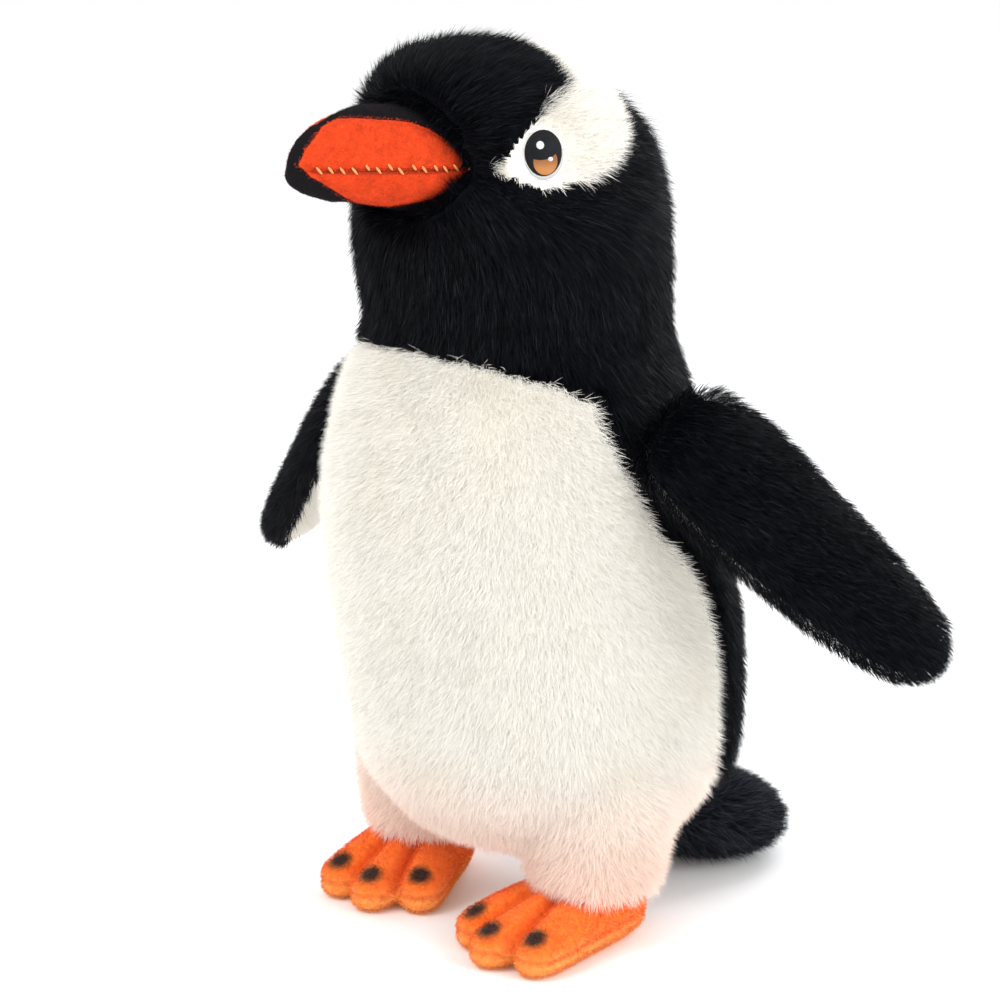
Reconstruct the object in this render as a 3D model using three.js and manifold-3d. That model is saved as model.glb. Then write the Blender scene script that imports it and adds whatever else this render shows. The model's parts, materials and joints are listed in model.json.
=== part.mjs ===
// Plush penguin, standing. Millimetres, +Z up, faces -Y, its left side is +X.
// The origin is on the ground, under the middle of the whole toy.
import * as THREE from 'three';
import { mergeVertices } from 'three/addons/utils/BufferGeometryUtils.js';
import Module from 'manifold-3d';

const wasm = await Module();
wasm.setup();

// ---- driving dimensions ----
const GAP = 0.3; // clearance between neighbouring pieces
const HALF_GAP = GAP / 2;
const PLUSH = 4; // long-pile cloth with its pile pressed down
const THIN_PLUSH = 3; // the same cloth on wings and tail
const FELT = 1.5; // felt of the beak
const SHORT_PLUSH = 1.6; // short-pile cloth of the feet
const LINING = 1; // cloth of the bean bag
const STITCH = 0.8; // embroidery thread of the mouth seam
const FAR = 400; // reaches past the whole toy
const LEFT = 1;
const RIGHT = -1;
const SIDES = [['left', LEFT], ['right', RIGHT]];
const BIG = [24, 13]; // facets around and along a large form
const MEDIUM = [14, 9];
const SMALL = [9, 7];
const DISC_SIDES = 14;

// Moves the toy so that the middle of its box is over the origin.
const SHIFT = [-1.04, -8.37];

// Each section of a soft form: height, half width, half depth, centre towards the back, and
// how much narrower it is at the front.
const NECK_Z = 167; // height of the neck seam, which is round so that the head can turn
const NECK_RADIUS = 37.5;
const NECK_Y = 2;
const HEAD_TURN = -8; // degrees; the head looks a little to its right
const TORSO = [
  [20, 0, 0, 14],
  [21.5, 22, 22, 14],
  [29, 39, 38, 14.5],
  [43, 49.5, 49.5, 15],
  [62, 52.2, 51.6, 13],
  [84, 54, 52, 9.5],
  [106, 53, 49.5, 4],
  [126, 50.5, 48, 1.5],
  [146, 45, 44, 0.5],
  [158, 40, 40.5, 1],
  [NECK_Z, NECK_RADIUS, NECK_RADIUS, NECK_Y],
  [182, 34, 34, NECK_Y],
  [190, 16, 16, NECK_Y],
  [192, 0, 0, NECK_Y],
];
const HEAD = [
  [142, 0, 0, NECK_Y],
  [144, 16, 16, NECK_Y],
  [152, 34, 34, NECK_Y],
  [NECK_Z, NECK_RADIUS, NECK_RADIUS, NECK_Y],
  [180, 39, 39, 0, 0.08],
  [193, 40, 40, -2, 0.25],
  [205, 39, 39.5, -4, 0.38],
  [216, 36, 37, -6, 0.3],
  [226, 29, 31, -9, 0.1],
  [233, 19, 21, -12],
  [236.5, 8, 8, -13],
  [237, 0, 0, -13],
];

// Outlines on the head in the side view: towards the back, height.
const PATCH = [[-31.5, 210.4], [-27, 213.8], [-22.5, 218.6], [-15.5, 225], [-4, 231.5], [2, 239],
  [20, 237], [16.5, 227], [10.5, 215], [3, 208.5], [-6.5, 204], [-15.5, 202.7], [-22, 204], [-27.5, 207]];
const CROWN_EDGE = [[-32, 210.2], [8, 238]]; // runs hidden behind the patch
const CHIN_EDGE = [[-33, 205], [-30, 192], [-27, 160]];

// The white belly's edge: a line in the side view, and the arch of its top in the front view.
const BELLY_SIDE = [[-14, 175], [-11, 147], [-8, 139], [0, 120], [10.5, 108], [19, 96], [24, 81],
  [28, 63], [31, 40], [32, 0]];
const BELLY_ARCH = [[54, 118], [51, 128], [47.5, 138], [43, 147], [33, 155.5], [19, 160.4], [0, 162]];
const BASE_Z = 27; // the underside is a piece of its own up to here

// The beak's axis starts inside the head. Each section: distance, half width, half height, rise.
const BEAK_AT = [0, -20, 208.2];
const BEAK_TILT = 4; // degrees up
const BEAK = [
  [-1, 0, 0, 0],
  [0, 13, 10, 0],
  [8, 19, 13.6, 1],
  [18, 17.4, 14, 1.5],
  [28, 13.8, 13.4, 2],
  [38, 10, 11.8, 2],
  [46.5, 6.4, 8.6, 1],
  [50.8, 3.8, 5.4, 0],
  [52.2, 1.8, 2.6, -0.4],
  [52.6, 0, 0, -0.6],
];
// The orange side of the beak: distance along the axis, rise.
const BEAK_SIDE = [[50.5, 0.5], [46.5, 7], [40, 11.8], [30, 12.2], [20, 11.3], [13, 7], [7.5, -0.5],
  [13, -6.6], [24, -11], [34, -9], [43, -4.8]];
const MOUTH = [[54, -1.2], [6, 0.1]]; // the mouth seam, tip to corner
const BEAK_PANEL_IN = 1.5; // the side panels start this far from the beak's middle

// Eyes, embroidered on the face patches.
const EYE_AT = [-18.6, 212.2]; // towards the back, height
const EYE_THICK = 1.6;
const EYE_PROUD = 0.5; // how far the thread stands above the cloth
const EYE = { halfWidth: 4.6, halfHeight: 5.7, forwards: 0, rise: 0 };
const PUPIL = { halfWidth: 4.3, halfHeight: 4.6, forwards: 0.3, rise: 1.2 };
const HIGHLIGHT = { halfWidth: 1.1, halfHeight: 1.3, forwards: 0.4, rise: 2.6 };

// The legs are short tubes of plush under the belly.
const LEG = [
  [2, 0, 0, 0],
  [3, 9, 9, 0],
  [11, 15, 15, 0],
  [24, 17, 17, 0],
  [40, 19.8, 19.8, 2],
  [54, 18, 18, 6],
  [66, 10, 10, 9],
  [70, 0, 0, 9],
];
const LEG_BOTTOM = 16;

// How each side stands: the leg's and foot's places, degrees that the foot turns to the toy's
// left, and degrees that the wing stands out and sweeps back. The left foot is a little ahead.
const STANCE = {
  left: { leg: [31, -1], foot: [28.5, -1], turn: -9, flare: 46, sweep: 25 },
  right: { leg: [-35, 4], foot: [-37, 6], turn: 15, flare: 44, sweep: 20 },
};

// Feet: three fat toes that spread from under the leg. Each section: distance from the ankle,
// half width, half height, rise.
const FOOT_SEAM = 5.5; // height of the seam between top and sole
const TOE_FAN = 15; // degrees between toes
const TOE_ASIDE = 5; // between the toes' axes at the ankle
const TOE = [
  [-16, 0, 0, 0.4],
  [-15, 5.4, 5, 0.4],
  [-9, 7.4, 7.2, 0.6],
  [6, 7.6, 8, 1.2],
  [22, 7.4, 7.8, 1],
  [31, 7.2, 7, 0.4],
  [36, 5, 5, -0.2],
  [38, 0, 0, -0.4],
];
const TOE_STEPS = [-1.5, 1.5, -1.5]; // the middle toe reaches furthest
const TOE_RISE = 5.8; // height of the toes' axes

// Wings hang from a seam at the shoulder. Each section: height from the seam, half
// thickness, half chord, shift towards the back.
const SHOULDER = [53.6, 5, 141.5];
const WING = [
  [-87, 0, 0, 0],
  [-86, 2, 5, 0],
  [-81, 4.4, 11.5, 0],
  [-71, 5.4, 14.8, 0],
  [-54, 6, 17.3, -0.5],
  [-36, 6.6, 18.8, -0.5],
  [-16, 7, 19.4, 0],
  [0, 6.4, 17, 0],
  [5.4, 3.4, 11, 0],
  [6.4, 0, 0, 0],
];

// The tail is a broad stub low on the back, bent a little to one side.
// Each section: distance from its root, half width, half thickness, shift down.
const TAIL_AT = [5, 43, 22.6];
const TAIL_DROOP = 18; // degrees below level
const TAIL_BEND = -15; // degrees towards the left side
const TAIL = [
  [0, 0, 0, 0],
  [1, 9, 5.4, 0],
  [8, 13.5, 7.6, 0],
  [17, 15, 8.4, 0],
  [29, 16, 8.6, 0],
  [40, 14, 7.2, 0],
  [46.5, 8.6, 4.8, 0],
  [48.4, 0, 0, 0],
];
const TAIL_SEAT = 2.6; // room between the tail's root and the back

// The bean bag sits low in the body.
const POUCH = [
  [26, 0, 0, 13],
  [27, 16, 14, 13],
  [35, 26, 23, 13],
  [44, 29, 26, 13],
  [53, 22, 19, 13],
  [56, 10, 9, 13],
  [56.6, 0, 0, 13],
];
const POUCH_SEAM = 40;
const POUCH_ROOM = [29.5, 26.5, 13]; // half width, half depth and centre of its way out

// ---- cloth and filling ----
const finish = (color, roughness) => new THREE.MeshStandardMaterial({ color, roughness, metalness: 0 });
const BLACK_PLUSH = finish(0x101015, 0.9);
const WHITE_PLUSH = finish(0xf0efe8, 0.95);
const ORANGE_FELT = finish(0xe8532b, 0.95);
const BLACK_FELT = finish(0x1c181a, 0.95);
const ORANGE_PLUSH = finish(0xf5731f, 0.9);
const SOLE_PLUSH = finish(0xf79a45, 0.9);
const THREAD = finish(0xf0953f, 0.6);
const EYE_BLACK = finish(0x14161a, 0.5);
const EYE_BROWN = finish(0xa8622f, 0.5);
const EYE_WHITE = finish(0xf6f6f6, 0.5);
const FIBRE = finish(0xfafafa, 1);
const LINING_CLOTH = finish(0xd8d8d2, 0.9);
const PELLETS = finish(0xe6e6ee, 0.4);

// ---- forms ----
const radians = THREE.MathUtils.degToRad;

function curve(rows, place) {
  return new THREE.CatmullRomCurve3(rows.map((row) => new THREE.Vector3(...place(row))));
}

// Points that are the same become one, and only positions are kept.
function welded(geometry) {
  const plain = geometry.clone();
  plain.deleteAttribute('normal');
  plain.deleteAttribute('uv');
  return mergeVertices(plain, 0.001);
}

// A closed form along +Z through elliptical sections, with its poles at the first and last.
function loft(sections, around, along) {
  const sizes = curve(sections, ([at, a, b]) => [at, a, b]);
  const shapes = curve(sections, ([at, , , shift, pinch = 0]) => [at, shift, pinch]);
  const form = welded(new THREE.SphereGeometry(1, around, along).rotateX(Math.PI / 2));
  const points = form.attributes.position;
  const unit = new THREE.Vector3();
  for (let i = 0; i < points.count; i += 1) {
    unit.fromBufferAttribute(points, i);
    const t = 1 - Math.acos(THREE.MathUtils.clamp(unit.z, -1, 1)) / Math.PI;
    const { x: at, y: a, z: b } = sizes.getPoint(t);
    const { y: shift, z: pinch } = shapes.getPoint(t);
    const ring = Math.hypot(unit.x, unit.y) || 1;
    const forwards = Math.max(0, -unit.y / ring);
    const x = (unit.x / ring) * a * (1 - pinch * forwards ** 2);
    points.setXYZ(i, x, (unit.y / ring) * b + shift, at);
  }
  form.computeVertexNormals();
  return form;
}

// The same sections grown all round, or pulled in by a negative distance.
function grownSections(sections, by) {
  const low = sections[0][0];
  const high = sections.at(-1)[0];
  const slim = Math.floor(-by) + 1;
  const rings = sections.slice(1, -1)
    .filter(([at, a, b]) => by > 0 || (at > low + slim && at < high - slim && Math.min(a, b) > slim))
    .map(([at, a, b, ...rest]) => [at, a + by, b + by, ...rest]);
  return [[low - by, 0, 0, rings[0][3]], ...rings, [high + by, 0, 0, rings.at(-1)[3]]];
}

function solid(geometry) {
  const form = welded(geometry);
  return new wasm.Manifold(new wasm.Mesh({
    numProp: 3,
    vertProperties: form.attributes.position.array,
    triVerts: new Uint32Array(form.index.array),
  }));
}

function box(width, depth, height, x, y, z) {
  return solid(new THREE.BoxGeometry(width, depth, height).translate(x, y, z));
}

const above = (z) => box(2 * FAR, 2 * FAR, FAR, 0, 0, z + FAR / 2);
const below = (z) => box(2 * FAR, 2 * FAR, FAR, 0, 0, z - FAR / 2);
const beside = (sign, x) => box(FAR, 2 * FAR, 2 * FAR, sign * (x + FAR / 2), 0, 0);

function extruded(points, depth) {
  const shape = new THREE.Shape(points.map(([u, v]) => new THREE.Vector2(u, v)));
  return new THREE.ExtrudeGeometry(shape, { depth, bevelEnabled: false });
}

// An outline in the side view, Y across and Z up, carried along X.
function sideCut(points, from, to) {
  const form = extruded(points, to - from).rotateX(Math.PI / 2).rotateZ(Math.PI / 2);
  return solid(form.translate(from, 0, 0));
}

// An outline in the front view, X across and Z up, carried through the whole toy.
function frontCut(points) {
  return solid(extruded(points, 2 * FAR).rotateX(Math.PI / 2).translate(0, FAR, 0));
}

// A smooth closed outline through the points, grown outwards by a distance.
function rounded(points, grow, count = 24) {
  const line = new THREE.CatmullRomCurve3(points.map(([u, v]) => new THREE.Vector3(u, v, 0)), true);
  const turn = Math.sign(THREE.ShapeUtils.area(line.getPoints(count)));
  return Array.from({ length: count }, (_, i) => {
    const at = line.getPointAt(i / count);
    const along = line.getTangentAt(i / count);
    return [at.x + turn * along.y * grow, at.y - turn * along.x * grow];
  });
}

function piece(name, body, material) {
  const { vertProperties, triVerts } = body.getMesh();
  const geometry = new THREE.BufferGeometry();
  geometry.setAttribute('position', new THREE.BufferAttribute(new Float32Array(vertProperties), 3));
  geometry.setIndex(new THREE.BufferAttribute(new Uint32Array(triVerts), 1));
  geometry.computeVertexNormals();
  const made = new THREE.Mesh(geometry, material);
  made.name = name;
  return made;
}

function group(place, children) {
  const made = new THREE.Group();
  made.position.set(...place);
  children.forEach((child) => made.add(child));
  return made;
}

const grown = (sections, by, detail) => solid(loft(grownSections(sections, by), ...detail));

// The cloth shell of a form.
const clothOf = (sections, thickness, detail) => (
  solid(loft(sections, ...detail)).subtract(grown(sections, -thickness, detail)));

// ---- body ----
function torsoPieces() {
  const skin = clothOf(TORSO, PLUSH, BIG).intersect(below(NECK_Z - HALF_GAP));
  const upper = skin.intersect(above(BASE_Z + HALF_GAP));
  const arch = [...BELLY_ARCH.map(([x, z]) => [-x, z]), ...BELLY_ARCH.slice(0, -1).reverse()];
  const front = (by) => (
    sideCut([...BELLY_SIDE.map(([y, z]) => [y + by, z]), [-FAR, 0], [-FAR, 175]], -FAR, FAR));
  const low = (by) => frontCut([...arch.map(([x, z]) => [x, z + by]), [FAR, arch[0][1]], [FAR, 0],
    [-FAR, 0], [-FAR, arch[0][1]]]);
  const back = upper.subtract(front(HALF_GAP));
  const recess = new THREE.CylinderGeometry(1, 1, 1, 36).rotateX(Math.PI / 2);
  recess.scale(POUCH_ROOM[0], POUCH_ROOM[1], POUCH_SEAM).translate(0, POUCH_ROOM[2], POUCH_SEAM / 2);
  const filling = grown(TORSO, -PLUSH - GAP, BIG)
    .intersect(below(NECK_Z - HALF_GAP))
    .subtract(grown(POUCH, GAP, MEDIUM))
    .subtract(solid(recess));
  return [
    piece('body_stuffing', filling, FIBRE),
    piece('belly_panel', upper.intersect(front(-HALF_GAP)).intersect(low(-HALF_GAP)), WHITE_PLUSH),
    piece('throat_panel', upper.intersect(front(-HALF_GAP)).subtract(low(HALF_GAP)), BLACK_PLUSH),
    piece('base_panel', skin.intersect(below(BASE_Z - HALF_GAP)), WHITE_PLUSH),
    ...SIDES.map(([side, sign]) => (
      piece(`back_${side}`, back.intersect(beside(sign, HALF_GAP)), BLACK_PLUSH))),
  ];
}

function pouchPieces() {
  const cloth = clothOf(POUCH, LINING, MEDIUM);
  return [
    piece('pouch_top', cloth.intersect(above(POUCH_SEAM + HALF_GAP)), LINING_CLOTH),
    piece('pouch_bottom', cloth.intersect(below(POUCH_SEAM - HALF_GAP)), LINING_CLOTH),
    piece('pellets', grown(POUCH, -LINING - GAP, MEDIUM), PELLETS),
  ];
}

function legPieces([side]) {
  const place = [...STANCE[side].leg, 0];
  const outside = grown(TORSO, GAP, BIG);
  const cut = (form) => form.translate(place).intersect(above(LEG_BOTTOM)).subtract(outside);
  return [
    piece(`leg_${side}`, cut(clothOf(LEG, PLUSH, MEDIUM)), WHITE_PLUSH),
    piece(`leg_stuffing_${side}`, cut(grown(LEG, -PLUSH - GAP, MEDIUM)), FIBRE),
  ];
}

// Three toes side by side, grown or pulled in together and standing on a flat sole.
function footForm({ foot: [x, y], turn }, by) {
  const toes = TOE_STEPS.map((step, i) => {
    const toe = loft(grownSections(TOE, by), ...SMALL).rotateX(Math.PI / 2);
    toe.translate((i - 1) * TOE_ASIDE, -step, 0);
    return solid(toe.rotateZ(radians((i - 1) * TOE_FAN + turn)).translate(x, y, TOE_RISE));
  });
  return toes.reduce((foot, toe) => foot.add(toe)).intersect(above(-by));
}

function footPieces([side]) {
  const stance = STANCE[side];
  const outside = grown(TORSO, GAP, BIG).add(above(LEG_BOTTOM - GAP));
  const cloth = footForm(stance, 0).subtract(footForm(stance, -SHORT_PLUSH)).subtract(outside);
  const filling = footForm(stance, -SHORT_PLUSH - GAP).subtract(outside);
  return [
    piece(`foot_top_${side}`, cloth.intersect(above(FOOT_SEAM + HALF_GAP)), ORANGE_PLUSH),
    piece(`foot_sole_${side}`, cloth.intersect(below(FOOT_SEAM - HALF_GAP)), SOLE_PLUSH),
    piece(`foot_stuffing_${side}`, filling, FIBRE),
  ];
}

function wing([side, sign]) {
  const cloth = clothOf(WING, THIN_PLUSH, MEDIUM);
  const made = group([sign * SHOULDER[0], SHOULDER[1], SHOULDER[2]], [
    piece(`wing_outer_${side}`, cloth.intersect(beside(sign, HALF_GAP)), BLACK_PLUSH),
    piece(`wing_inner_${side}`, cloth.intersect(beside(-sign, HALF_GAP)), WHITE_PLUSH),
    piece(`wing_stuffing_${side}`, grown(WING, -THIN_PLUSH - GAP, MEDIUM), FIBRE),
  ]);
  made.rotation.set(radians(STANCE[side].sweep), radians(-sign * STANCE[side].flare), 0);
  return made;
}

function tail() {
  const made = group(TAIL_AT, []);
  made.rotation.set(radians(-90 - TAIL_DROOP), 0, radians(TAIL_BEND), 'ZXY');
  made.updateMatrix();
  const toTail = made.matrix.clone().invert();
  const body = solid(loft(grownSections(TORSO, TAIL_SEAT), ...BIG).applyMatrix4(toTail));
  const cloth = clothOf(TAIL, THIN_PLUSH, MEDIUM).subtract(body);
  const level = (sign) => solid(new THREE.BoxGeometry(FAR, FAR, FAR)
    .translate(0, sign * (FAR / 2 + HALF_GAP), 0));
  made.add(
    piece('tail_upper', cloth.intersect(level(-1)), BLACK_PLUSH),
    piece('tail_lower', cloth.intersect(level(1)), BLACK_PLUSH),
    piece('tail_stuffing', grown(TAIL, -THIN_PLUSH - GAP, MEDIUM).subtract(body), FIBRE),
  );
  return made;
}

// ---- head ----
function beakPieces() {
  const cloth = clothOf(BEAK, FELT, MEDIUM);
  const outline = BEAK_SIDE.map(([distance, rise]) => [rise, distance]);
  const [[tipAt, tipRise], [cornerAt, cornerRise]] = MOUTH;
  const mouth = (low, high) => [
    [tipRise + low, tipAt], [tipRise + high, tipAt], [cornerRise + high, cornerAt],
    [cornerRise + low, cornerAt]];
  const reach = (sign) => [Math.min(sign * BEAK_PANEL_IN, sign * FAR),
    Math.max(sign * BEAK_PANEL_IN, sign * FAR)];
  const leaf = (sign, grow) => sideCut(rounded(outline, grow), ...reach(sign));
  const stitching = grown(BEAK, GAP + STITCH, MEDIUM).subtract(grown(BEAK, GAP, MEDIUM));
  const sides = SIDES.flatMap(([side, sign]) => {
    const panel = cloth.intersect(leaf(sign, -HALF_GAP));
    const strip = (low, high) => sideCut(mouth(low, high), ...reach(sign));
    return [
      piece(`beak_upper_${side}`, panel.intersect(strip(HALF_GAP, FAR)), ORANGE_FELT),
      piece(`beak_lower_${side}`, panel.intersect(strip(-FAR, -HALF_GAP)), ORANGE_FELT),
      piece(
        `mouth_stitching_${side}`,
        stitching.intersect(leaf(sign, -1)).intersect(strip(-STITCH / 2, STITCH / 2)),
        THREAD,
      ),
    ];
  });
  const gusset = cloth.subtract(leaf(LEFT, HALF_GAP)).subtract(leaf(RIGHT, HALF_GAP));
  return [
    ...sides,
    piece('beak_gusset', gusset, BLACK_FELT),
    piece('beak_stuffing', grown(BEAK, -FELT - GAP, MEDIUM), FIBRE),
  ];
}

// The frame of an eye on the head's surface: X back or forwards along it, Y up, Z out.
function eyeFrame(surface, sign) {
  const from = new THREE.Vector3(sign * FAR, ...EYE_AT);
  const ray = new THREE.Raycaster(from, new THREE.Vector3(-sign, 0, 0));
  const [{ point, face }] = ray.intersectObject(surface);
  const out = face.normal.clone();
  const across = new THREE.Vector3(0, 0, 1).cross(out).normalize();
  const up = out.clone().cross(across);
  return new THREE.Matrix4().makeBasis(across, up, out).setPosition(point);
}

// An elliptical plate between two heights.
function disc(halfWidth, halfHeight, x, y, low, high) {
  const outline = new THREE.EllipseCurve(x, y, halfWidth, halfHeight).getPoints(DISC_SIDES).slice(1);
  const points = outline.map((point) => [point.x, point.y]);
  return solid(extruded(points, high - low).translate(0, 0, low));
}

function eye([side, sign], frame) {
  const round = (grow, { halfWidth, halfHeight, forwards, rise }) => (
    disc(halfWidth + grow, halfHeight + grow, -sign * forwards, rise,
      EYE_PROUD - EYE_THICK - grow, EYE_PROUD + grow));
  const whole = round(0, EYE);
  const pupil = round(0, PUPIL).intersect(whole).subtract(round(GAP, HIGHLIGHT));
  const made = group([0, 0, 0], [
    piece(`eye_pupil_${side}`, pupil, EYE_BLACK),
    piece(`eye_iris_${side}`, whole.subtract(round(GAP, PUPIL)), EYE_BROWN),
    piece(`eye_highlight_${side}`, round(0, HIGHLIGHT), EYE_WHITE),
  ]);
  made.applyMatrix4(frame);
  return made;
}

function head() {
  const form = loft(HEAD, ...BIG);
  const surface = new THREE.Mesh(form);
  const frames = SIDES.map(([, sign]) => eyeFrame(surface, sign));
  const beakPlace = new THREE.Matrix4()
    .makeRotationX(Math.PI / 2 - radians(BEAK_TILT))
    .setPosition(...BEAK_AT);
  const beakRoom = solid(loft(grownSections(BEAK, STITCH + 2 * GAP), ...MEDIUM).applyMatrix4(beakPlace));
  const top = above(NECK_Z + HALF_GAP);
  const skin = clothOf(HEAD, PLUSH, BIG).intersect(top).subtract(beakRoom);
  const filling = grown(HEAD, -PLUSH - GAP, BIG).intersect(top).subtract(beakRoom);
  const patch = (by) => sideCut(rounded(PATCH, by), -FAR, FAR);
  const [[crownY, crownZ], [topY, topZ]] = CROWN_EDGE;
  const crown = (by) => sideCut([[-FAR, crownZ - by], [crownY, crownZ - by], [topY + by, topZ],
    [topY + by, 2 * FAR], [-FAR, 2 * FAR]], -FAR, FAR);
  const chin = (by) => sideCut([[-FAR, CHIN_EDGE[0][1] + by],
    ...CHIN_EDGE.map(([y, z], i) => [y + by, i === 0 ? z + by : z]), [-FAR, CHIN_EDGE.at(-1)[1]]],
  -FAR, FAR);
  const plain = skin.subtract(patch(HALF_GAP));
  const cheeks = plain.subtract(crown(HALF_GAP)).subtract(chin(HALF_GAP));
  const patches = skin.intersect(patch(-HALF_GAP));
  const beak = group([0, 0, 0], beakPieces());
  beak.applyMatrix4(beakPlace);
  const turned = group([0, -NECK_Y, 0], [
    piece('head_stuffing', filling, FIBRE),
    piece('crown_panel', plain.intersect(crown(-HALF_GAP)), BLACK_PLUSH),
    piece('chin_panel', plain.intersect(chin(-HALF_GAP)), BLACK_PLUSH),
    beak,
  ]);
  SIDES.forEach(([side, sign], i) => {
    const eyeRoom = disc(EYE.halfWidth + GAP, EYE.halfHeight + GAP, 0, 0,
      EYE_PROUD - EYE_THICK - GAP, EYE_THICK).transform(frames[i].elements);
    const half = beside(sign, HALF_GAP);
    turned.add(
      piece(`head_side_${side}`, cheeks.intersect(half), BLACK_PLUSH),
      piece(`face_patch_${side}`, patches.intersect(half).subtract(eyeRoom), WHITE_PLUSH),
      eye([side, sign], frames[i]),
    );
  });
  const made = group([0, NECK_Y, 0], [turned]);
  made.rotation.z = radians(HEAD_TURN);
  return made;
}

const toy = group([...SHIFT, 0], [
  head(),
  ...torsoPieces(),
  ...pouchPieces(),
  tail(),
  ...SIDES.map(wing),
  ...SIDES.flatMap(legPieces),
  ...SIDES.flatMap(footPieces),
]);

export default toy;
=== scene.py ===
"""A standing plush penguin: plump skins, long pile, a felt beak, sewn eyes and plush feet."""

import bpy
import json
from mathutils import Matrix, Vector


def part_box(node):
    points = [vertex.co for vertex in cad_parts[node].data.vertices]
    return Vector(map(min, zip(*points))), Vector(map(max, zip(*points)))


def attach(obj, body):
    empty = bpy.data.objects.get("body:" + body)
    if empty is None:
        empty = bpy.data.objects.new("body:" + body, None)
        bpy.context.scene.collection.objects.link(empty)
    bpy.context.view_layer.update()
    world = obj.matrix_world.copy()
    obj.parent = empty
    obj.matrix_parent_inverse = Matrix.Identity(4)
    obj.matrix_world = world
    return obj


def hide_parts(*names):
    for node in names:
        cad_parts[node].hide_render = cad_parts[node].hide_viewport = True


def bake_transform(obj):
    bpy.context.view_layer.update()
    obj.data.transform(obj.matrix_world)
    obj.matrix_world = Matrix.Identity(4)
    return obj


bl_info = {
    "name": "Plush penguin",
    "version": (1, 0, 0),
    "blender": (4, 5, 0),
    "location": "3D View > Sidebar > Penguin",
    "description": "Sews, stuffs and combs a plush penguin around its frame",
    "category": "Object",
}

import json
import math

import bmesh
import bpy
import numpy as np
from mathutils import Matrix, Vector
from mathutils.bvhtree import BVHTree

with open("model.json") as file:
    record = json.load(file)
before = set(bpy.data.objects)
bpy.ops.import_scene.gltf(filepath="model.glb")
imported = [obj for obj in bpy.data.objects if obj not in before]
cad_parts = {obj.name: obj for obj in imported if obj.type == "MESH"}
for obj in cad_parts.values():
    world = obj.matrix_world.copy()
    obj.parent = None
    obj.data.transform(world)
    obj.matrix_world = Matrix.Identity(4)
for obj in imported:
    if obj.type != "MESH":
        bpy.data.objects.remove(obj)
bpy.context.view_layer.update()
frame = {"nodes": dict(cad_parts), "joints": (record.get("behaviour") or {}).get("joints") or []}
NODES = frame["nodes"]
JOINTS = {joint["name"]: joint for joint in frame["joints"]}
MM = 0.001

# ---- which sewn pieces make up each soft form ----
SIDES = ("left", "right")
TRUNK_NODES = {
    "back_left": "black", "back_right": "black", "throat_panel": "black",
    "belly_panel": "white", "base_panel": "white", "leg_left": "white", "leg_right": "white",
    "crown_panel": "black", "chin_panel": "black", "head_side_left": "black",
    "head_side_right": "black", "face_patch_left": "white", "face_patch_right": "white",
}
PALE_PANELS = ["belly_panel", "face_patch_left", "face_patch_right"]
TRUNK_FILLING = ["body_stuffing", "head_stuffing", "leg_stuffing_left", "leg_stuffing_right"]
BAG_NODES = ["pouch_top", "pouch_bottom", "pellets"]
NECK = JOINTS["neck_turn"]["pos_m"]

# ---- sizes ----
MOST_FIBRES = 96000  # in one piece of pile
TRUNK_SKIN = (3.2 * MM, 2.2 * MM)  # voxel and swelling of the trunk's skin
LIMB_SKIN = (2.2 * MM, 1.2 * MM)  # voxel and swelling of the wings' and the tail's skins
BEAK_VOXEL = 0.9 * MM
FOOT_VOXEL = 1.15 * MM
FOOT_SEAM = 5.5 * MM  # height of the seam between a foot's top and its sole
EYE_BARE = 5.6 * MM  # no pile grows this near an eye's middle
CLAW_BACK = 5.5 * MM  # from a toe's tip to the middle of its claw mark
CLAW_HEIGHT = 10.8 * MM
TOE_GROOVE = 3.2 * MM
SHORT_DENSITY = 9.0  # fibres per square millimetre on the felt and the feet
STITCHES = 14  # on each side of the mouth
THREAD_PITCH = 0.42 * MM  # between rows of satin stitch

# layer, backwards, up, half width, half height, height off the cloth, colour, frame node, slot
EYE_LAYERS = [
    ("rim", 0.1, -0.35, 4.95, 6.0, 0.5, (0.7, 0.7, 0.7, 1), None, "eye_white"),
    ("ring", 0.0, 0.1, 4.8, 5.95, 0.95, (0.006, 0.006, 0.008, 1), "eye_pupil", "eye_black"),
    ("iris", 0.2, -1.1, 3.8, 4.4, 1.25, None, "eye_iris", "eye_brown"),
    ("pupil", -0.1, 0.75, 3.75, 4.2, 1.5, (0.004, 0.005, 0.009, 1), None, "eye_black"),
    ("light", -0.9, 2.1, 1.5, 1.6, 1.75, (0.95, 0.97, 1.0, 1), "eye_highlight", "eye_white"),
    ("glint", 1.5, -1.2, 0.95, 0.85, 1.65, (0.92, 0.95, 1.0, 1), None, "eye_white"),
]

CAMERA_AZIMUTH = math.radians(42)
CAMERA_ELEVATION = math.radians(14)
CAMERA_DISTANCE = 0.85
CAMERA_LENS = 114.6
SKY_STRENGTH = 1.04
VIEW_CENTRE = Vector((-1.04 * MM, -4.37 * MM, 118 * MM))
AIM_LEFT = 5.9 * MM
AIM_DOWN = 2.7 * MM


# ---- shader maths ----
class Value:
    """One output of a node. Arithmetic on it adds Math nodes."""

    def __init__(self, shader, socket):
        self.shader = shader
        self.socket = socket

    def _with(self, operation, first, second):
        return self.shader.node("ShaderNodeMath", {"operation": operation}, {0: first, 1: second})

    def __add__(self, other):
        return self._with("ADD", self, other)

    __radd__ = __add__

    def __sub__(self, other):
        return self._with("SUBTRACT", self, other)

    def __rsub__(self, other):
        return self._with("SUBTRACT", other, self)

    def __mul__(self, other):
        return self._with("MULTIPLY", self, other)

    __rmul__ = __mul__

    def __pow__(self, other):
        return self._with("POWER", self, other)


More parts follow.
